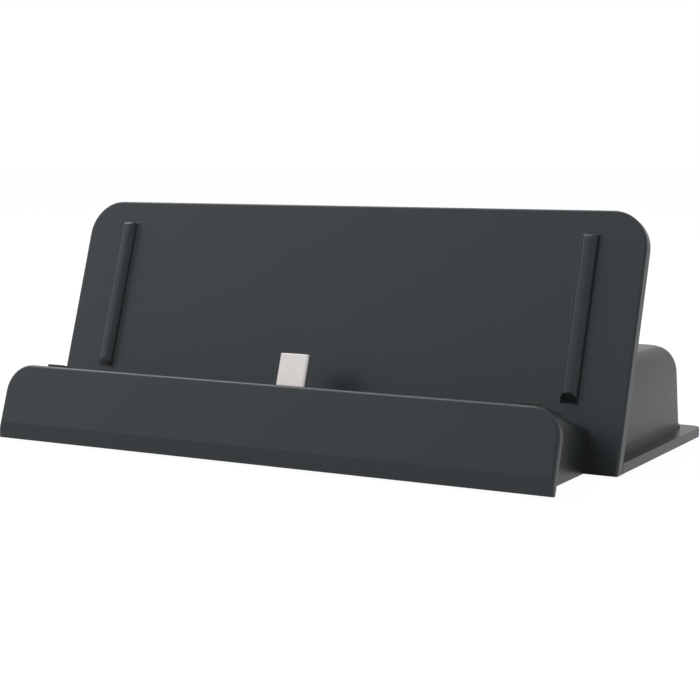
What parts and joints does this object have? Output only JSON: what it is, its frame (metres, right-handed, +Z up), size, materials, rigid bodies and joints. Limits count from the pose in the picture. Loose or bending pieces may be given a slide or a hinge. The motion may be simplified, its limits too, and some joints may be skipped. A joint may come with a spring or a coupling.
{
  "type": "charging station",
  "caption": "Charging stand for a handheld game console: a leaning back plate, a front panel and a sloping seat with an upright metal plug, and a low rounded rear housing on a foot flange.",
  "frame": {"origin": "on the standing surface, below the centre of the outline", "axes": "+X along the width, +Z up, and the front panel faces -Y"},
  "size_m": [0.1644, 0.0926, 0.061],
  "materials": {
    "shell_plastic": "fine matte texture",
    "foot_rubber": "matte",
    "screw_steel": "plated",
    "plug_metal": "satin nickel",
    "black_plastic": "satin",
    "contact_metal": "gold plated",
    "board_green": "solder mask",
    "ivory_plastic": "moulded",
    "coil_ferrite": "moulded ferrite",
    "capacitor_can": "drawn can",
    "red_insulation": "smooth",
    "black_insulation": "smooth",
    "green_insulation": "smooth",
    "white_insulation": "smooth"
  },
  "bodies": {
    "root": {"front_shell": "shell_plastic", "rear_housing": "shell_plastic", "base_cover": "shell_plastic", "rubber_feet": "foot_rubber", "base_screws": "screw_steel", "plug_shell": "plug_metal", "plug_core": "black_plastic", "plug_contacts": "contact_metal", "plug_holder": "black_plastic", "holder_screws": "screw_steel", "plug_board": "board_green", "plug_connector": "ivory_plastic", "charging_board": "board_green", "board_screws": "screw_steel", "inlet_shell": "plug_metal", "inlet_tongue": "black_plastic", "inlet_contacts": "contact_metal", "control_chip": "black_plastic", "power_coil": "coil_ferrite", "capacitors": "capacitor_can", "board_connector": "ivory_plastic", "wire_red": "red_insulation", "wire_black": "black_insulation", "wire_green": "green_insulation", "wire_white": "white_insulation", "seat_pads": "foot_rubber"}
  },
  "joints": []
}
